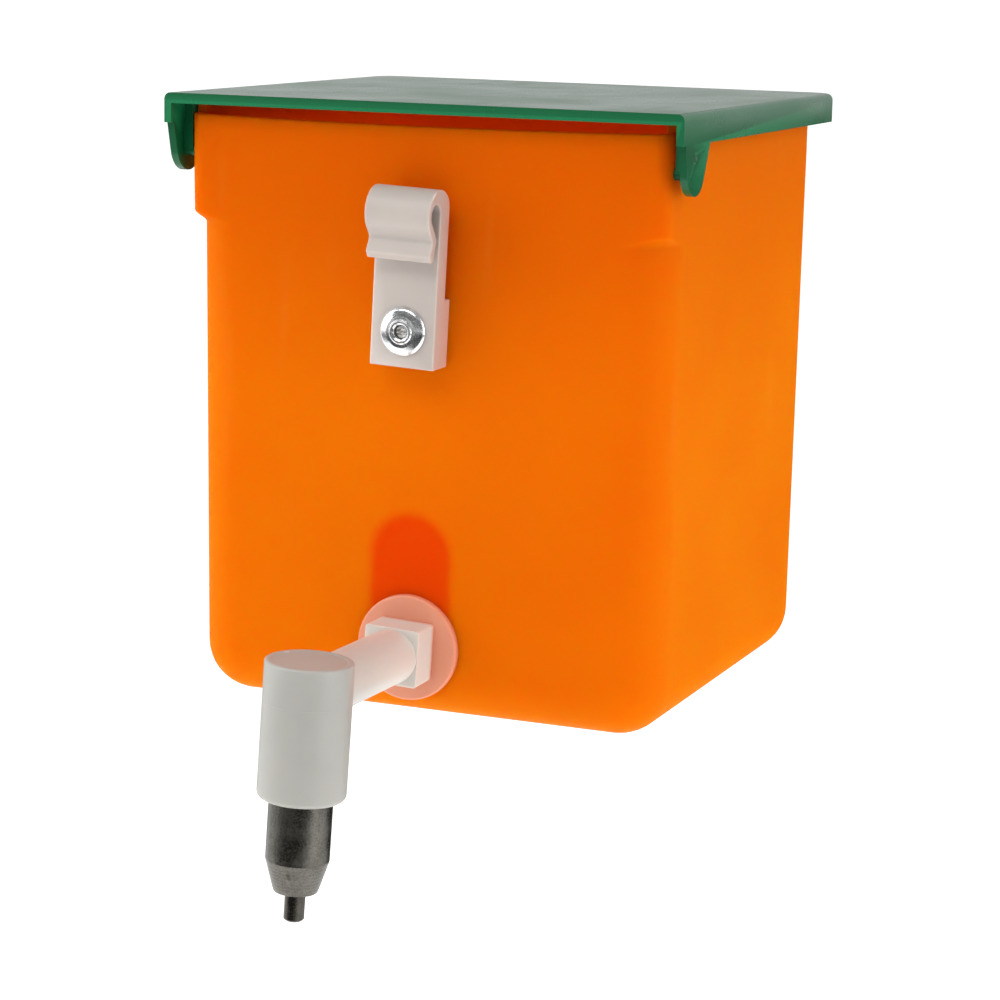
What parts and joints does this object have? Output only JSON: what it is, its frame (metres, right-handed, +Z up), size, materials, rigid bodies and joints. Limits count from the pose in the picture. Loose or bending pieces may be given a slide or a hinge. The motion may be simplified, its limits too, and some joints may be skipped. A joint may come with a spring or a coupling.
{
  "type": "rabbit water drinker",
  "caption": "Square plastic water tank with a hinged lid, a sprung clip that hangs it on a cage wire, and an elbow with a metal drinking nipple and trigger pin.",
  "frame": {"origin": "middle of the hanging clip's eye, where the cage wire lies", "axes": "+X to the right as seen from the nipple's side, +Y from the front of the tank towards its back, +Z up"},
  "size_m": [0.108, 0.1532, 0.1496],
  "materials": {
    "tank_plastic": "translucent orange polypropylene, satin",
    "lid_plastic": "glossy green",
    "clip_nylon": "milky white, satin",
    "elbow_nylon": "milky white, satin",
    "nut_nylon": "milky white, satin",
    "inner_plastic": "natural",
    "rivet_aluminium": "bright, pressed",
    "rivet_steel": "dull broken end",
    "washer_steel": "plain",
    "nipple_metal": "satin nickel, turned",
    "pin_steel": "drawn stainless",
    "spring_steel": "drawn stainless wire",
    "seal_rubber": "soft black rubber"
  },
  "bodies": {
    "tank_set": {"tank": "tank_plastic", "hanging_clip": "clip_nylon", "rivet_body": "rivet_aluminium", "rivet_mandrel": "rivet_steel", "rivet_seal": "seal_rubber", "rivet_washer": "washer_steel", "outlet_elbow": "elbow_nylon", "outlet_gasket": "seal_rubber", "lock_nut": "nut_nylon", "nipple_body": "nipple_metal", "nipple_seal_ring": "seal_rubber", "valve_seat": "seal_rubber", "spring_retainer": "inner_plastic", "pin_spring": "spring_steel"},
    "lid": {"lid": "lid_plastic"},
    "follower": {"spring_follower": "inner_plastic"},
    "trigger": {"trigger_pin": "pin_steel"}
  },
  "joints": [
    {"name": "lid_hinge", "type": "hinge", "parent": "tank_set", "child": "lid", "pos_m": [-0.00042, 0.01232, 0.00901], "axis": [1, 0, 0], "range_deg": [0, 70]},
    {"name": "pin_push", "type": "slide", "parent": "tank_set", "child": "follower", "axis": [0.0488, 0.0203, 0.9986], "range_m": [0, 0.0015], "stiffness_N_per_m": 250, "springref_m": -0.002, "deforming": ["pin_spring"]},
    {"name": "pin_tilt", "type": "hinge", "parent": "follower", "child": "trigger", "pos_m": [-0.0029, -0.03708, -0.11281], "axis": [0.9988, 0.0002, -0.0488], "range_deg": [-4.5, 4.5], "stiffness_Nm_per_rad": 0.02}
  ]
}
